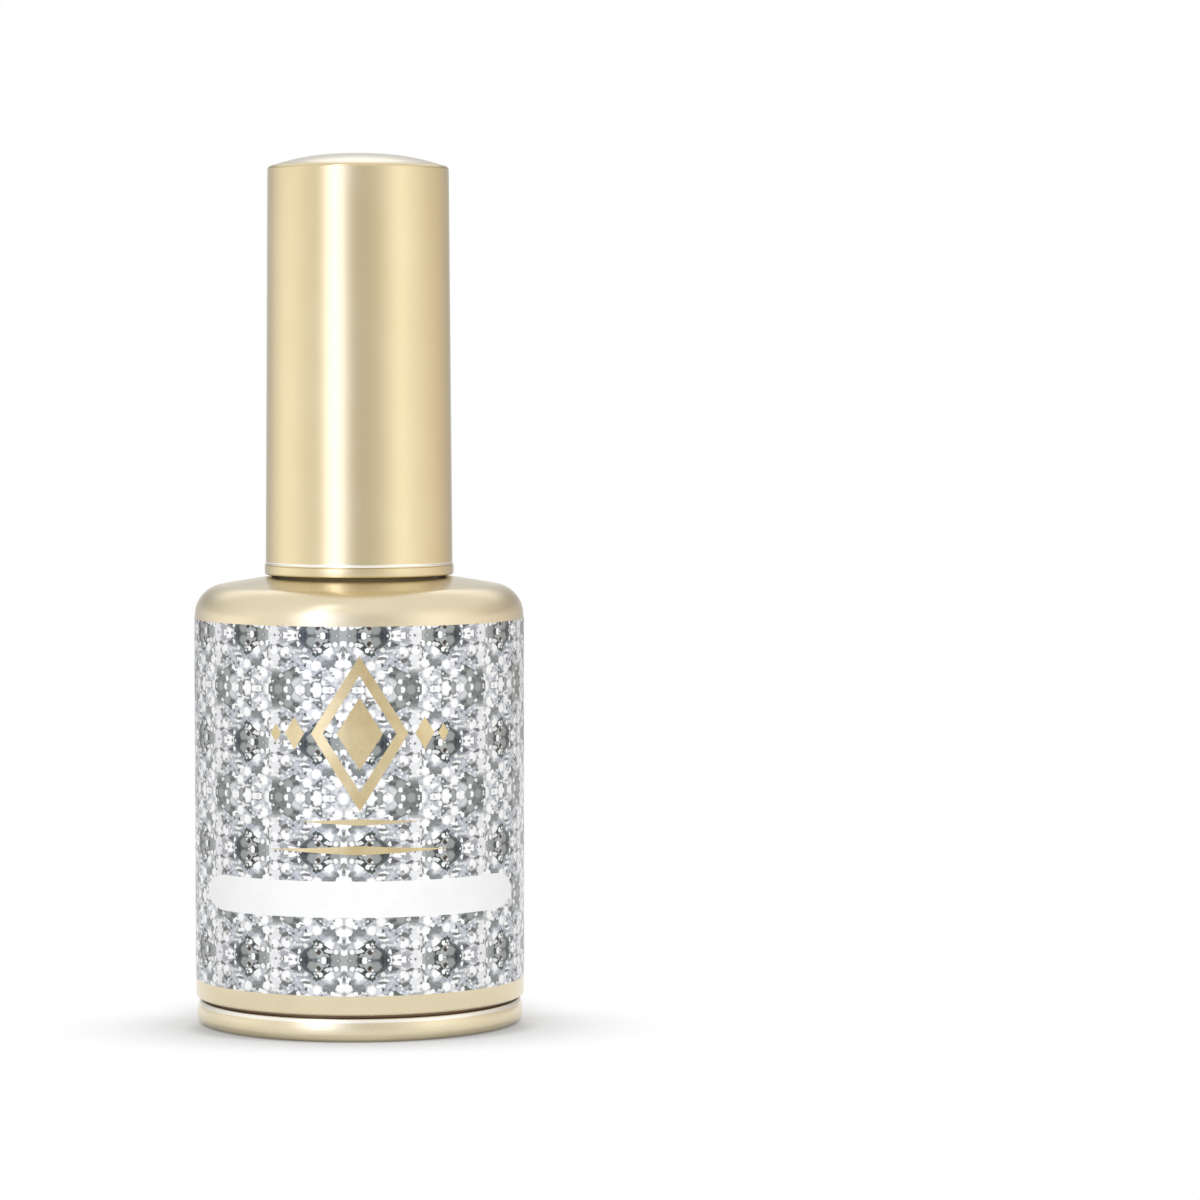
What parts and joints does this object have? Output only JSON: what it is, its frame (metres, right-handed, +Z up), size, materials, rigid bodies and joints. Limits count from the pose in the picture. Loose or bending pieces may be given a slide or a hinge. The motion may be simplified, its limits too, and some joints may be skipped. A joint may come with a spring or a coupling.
{
  "type": "nail polish bottle",
  "caption": "Round gold-lacquered polish bottle on a foot ring, with a glitter wrap label and a tall tapered screw cap that carries the brush.",
  "frame": {"origin": "on the bottle's axis, in the plane of the foot ring that it stands on", "axes": "+Z up along the bottle's axis to the cap's top, -Y towards the front of the label"},
  "size_m": [0.031, 0.031, 0.0819],
  "materials": {
    "gold_lacquered_glass": "opaque champagne gold lacquer on the outside of clear glass",
    "glitter_film": null,
    "silver_polish": "liquid silver glitter gel",
    "gold_shell": "champagne gold anodised, satin gloss",
    "natural_plastic": "natural moulded polypropylene",
    "liner_film": "solvent-proof film",
    "liner_foam": "white foamed polyethylene",
    "stem_plastic": "black moulded polyethylene",
    "nylon_bristle": "black nylon filaments",
    "staple_wire": "bright flat wire"
  },
  "bodies": {
    "bottle": {"glass_bottle": "gold_lacquered_glass", "wrap_label": "glitter_film", "polish": "silver_polish"},
    "liner_facing": {"liner_facing": "liner_film"},
    "liner_pad": {"liner_pad": "liner_foam"},
    "cap": {"cap_shell": "gold_shell", "inner_cap": "natural_plastic", "brush_stem": "stem_plastic", "bristle_tuft": "nylon_bristle", "bristle_staple": "staple_wire"}
  },
  "joints": [
    {"name": "cap_lift", "type": "slide", "parent": "bottle", "child": "liner_facing", "axis": [0, 0, 1], "range_m": [0, 0.06]},
    {"name": "cap_rise", "type": "slide", "parent": "liner_facing", "child": "liner_pad", "axis": [0, 0, 1], "range_m": [0, 0.0032]},
    {"name": "cap_turn", "type": "hinge", "parent": "liner_pad", "child": "cap", "pos_m": [0, 0, 0.05633], "axis": [0, 0, 1], "range_deg": [0, 540]}
  ],
  "couplings": [
    {"joint": "cap_rise", "follows": "cap_turn", "m_per_rad": 0.00033693}
  ]
}
